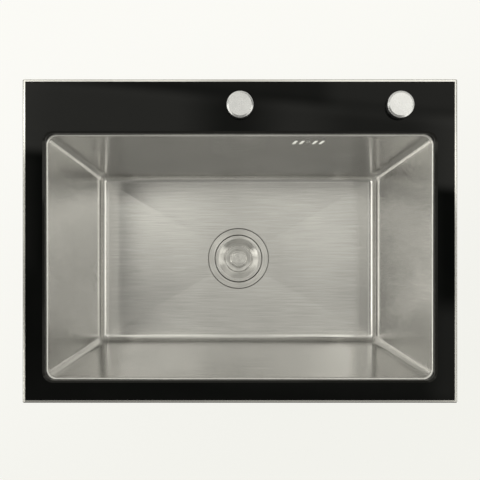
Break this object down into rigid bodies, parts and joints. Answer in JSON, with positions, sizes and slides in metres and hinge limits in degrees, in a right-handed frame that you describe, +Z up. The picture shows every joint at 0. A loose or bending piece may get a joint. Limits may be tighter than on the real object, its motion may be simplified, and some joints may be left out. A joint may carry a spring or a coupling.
{
  "type": "kitchen sink",
  "caption": "Drop-in kitchen sink: pressed steel bowl under a black glass deck with a thin steel lip, lift-out strainer with pull-up stopper, overflow and swing-out worktop clips.",
  "frame": {"origin": "centre of the rim's outline in plan, on the worktop surface", "axes": "+X to the right, +Y to the back where the tap stands, +Z up"},
  "size_m": [0.604, 0.45, 0.3402],
  "materials": {
    "brushed_steel": "fine horizontal brushing, satin",
    "trim_steel": "fine brushing along the lip",
    "cap_steel": "satin, bead blasted",
    "spun_steel": "spun, fine rings round the centre",
    "black_glass": "polished, painted black on the back",
    "zinc_steel": "zinc plated, dull",
    "black_rubber": "matte",
    "foam_seal": "closed cell foam",
    "damping_pad": "matte, rolled",
    "bond": "cured sealant",
    "white_plastic": "moulded, slightly glossy"
  },
  "bodies": {
    "root": {"bowl": "brushed_steel", "trim_frame": "trim_steel", "glass_panel": "black_glass", "glass_adhesive": "bond", "rim_gasket": "foam_seal", "clip_brackets": "zinc_steel", "drain_flange": "spun_steel", "drain_upper_seal": "black_rubber", "drain_lower_seal": "black_rubber", "drain_body": "white_plastic", "drain_funnel": "white_plastic", "drain_screw": "zinc_steel", "overflow_gasket": "black_rubber", "overflow_housing": "white_plastic", "overflow_screw": "zinc_steel", "overflow_pipe": "white_plastic", "overflow_cone_top": "black_rubber", "overflow_cone_bottom": "black_rubber", "overflow_nut_top": "white_plastic", "overflow_nut_bottom": "white_plastic", "sound_pad_front": "damping_pad", "sound_pad_back": "damping_pad", "sound_pad_left": "damping_pad", "sound_pad_right": "damping_pad", "cover_cap_centre": "cap_steel", "cover_seal_centre": "black_rubber", "cover_washer_centre": "zinc_steel", "cover_nut_centre": "zinc_steel", "cover_cap_right": "cap_steel", "cover_seal_right": "black_rubber", "cover_washer_right": "zinc_steel", "cover_nut_right": "zinc_steel"},
    "basket": {"strainer_basket": "spun_steel", "strainer_cover": "spun_steel", "stem_grip_ring": "black_rubber"},
    "stopper": {"stopper_knob": "spun_steel", "stopper_stem": "zinc_steel", "stopper_seal": "black_rubber"},
    "clip_screw_1": {"clip_screw_1": "zinc_steel"},
    "clip_jaw_1": {"clip_jaw_1": "zinc_steel"},
    "clip_screw_2": {"clip_screw_2": "zinc_steel"},
    "clip_jaw_2": {"clip_jaw_2": "zinc_steel"},
    "clip_screw_3": {"clip_screw_3": "zinc_steel"},
    "clip_jaw_3": {"clip_jaw_3": "zinc_steel"},
    "clip_screw_4": {"clip_screw_4": "zinc_steel"},
    "clip_jaw_4": {"clip_jaw_4": "zinc_steel"},
    "clip_screw_5": {"clip_screw_5": "zinc_steel"},
    "clip_jaw_5": {"clip_jaw_5": "zinc_steel"},
    "clip_screw_6": {"clip_screw_6": "zinc_steel"},
    "clip_jaw_6": {"clip_jaw_6": "zinc_steel"}
  },
  "joints": [
    {"name": "basket_lift", "type": "slide", "parent": "root", "child": "basket", "axis": [0, 0, 1], "range_m": [0, 0.08]},
    {"name": "stopper_pull", "type": "slide", "parent": "basket", "child": "stopper", "axis": [0, 0, 1], "range_m": [0, 0.008]},
    {"name": "clip_swing_1", "type": "hinge", "parent": "root", "child": "clip_screw_1", "pos_m": [0.182, -0.207, -0.0647], "axis": [0, 0, -1], "range_deg": [0, 90]},
    {"name": "clip_clamp_1", "type": "slide", "parent": "clip_screw_1", "child": "clip_jaw_1", "axis": [0, 0, 1], "range_m": [0, 0.034]},
    {"name": "clip_swing_2", "type": "hinge", "parent": "root", "child": "clip_screw_2", "pos_m": [-0.182, -0.207, -0.0647], "axis": [0, 0, -1], "range_deg": [0, 90]},
    {"name": "clip_clamp_2", "type": "slide", "parent": "clip_screw_2", "child": "clip_jaw_2", "axis": [0, 0, 1], "range_m": [0, 0.034]},
    {"name": "clip_swing_3", "type": "hinge", "parent": "root", "child": "clip_screw_3", "pos_m": [0.284, -0.022, -0.0647], "axis": [0, 0, -1], "range_deg": [0, 90]},
    {"name": "clip_clamp_3", "type": "slide", "parent": "clip_screw_3", "child": "clip_jaw_3", "axis": [0, 0, 1], "range_m": [0, 0.034]},
    {"name": "clip_swing_4", "type": "hinge", "parent": "root", "child": "clip_screw_4", "pos_m": [0.137, 0.207, -0.0647], "axis": [0, 0, -1], "range_deg": [0, 90]},
    {"name": "clip_clamp_4", "type": "slide", "parent": "clip_screw_4", "child": "clip_jaw_4", "axis": [0, 0, 1], "range_m": [0, 0.034]},
    {"name": "clip_swing_5", "type": "hinge", "parent": "root", "child": "clip_screw_5", "pos_m": [-0.137, 0.207, -0.0647], "axis": [0, 0, -1], "range_deg": [0, 90]},
    {"name": "clip_clamp_5", "type": "slide", "parent": "clip_screw_5", "child": "clip_jaw_5", "axis": [0, 0, 1], "range_m": [0, 0.034]},
    {"name": "clip_swing_6", "type": "hinge", "parent": "root", "child": "clip_screw_6", "pos_m": [-0.284, -0.022, -0.0647], "axis": [0, 0, -1], "range_deg": [0, 90]},
    {"name": "clip_clamp_6", "type": "slide", "parent": "clip_screw_6", "child": "clip_jaw_6", "axis": [0, 0, 1], "range_m": [0, 0.034]}
  ]
}
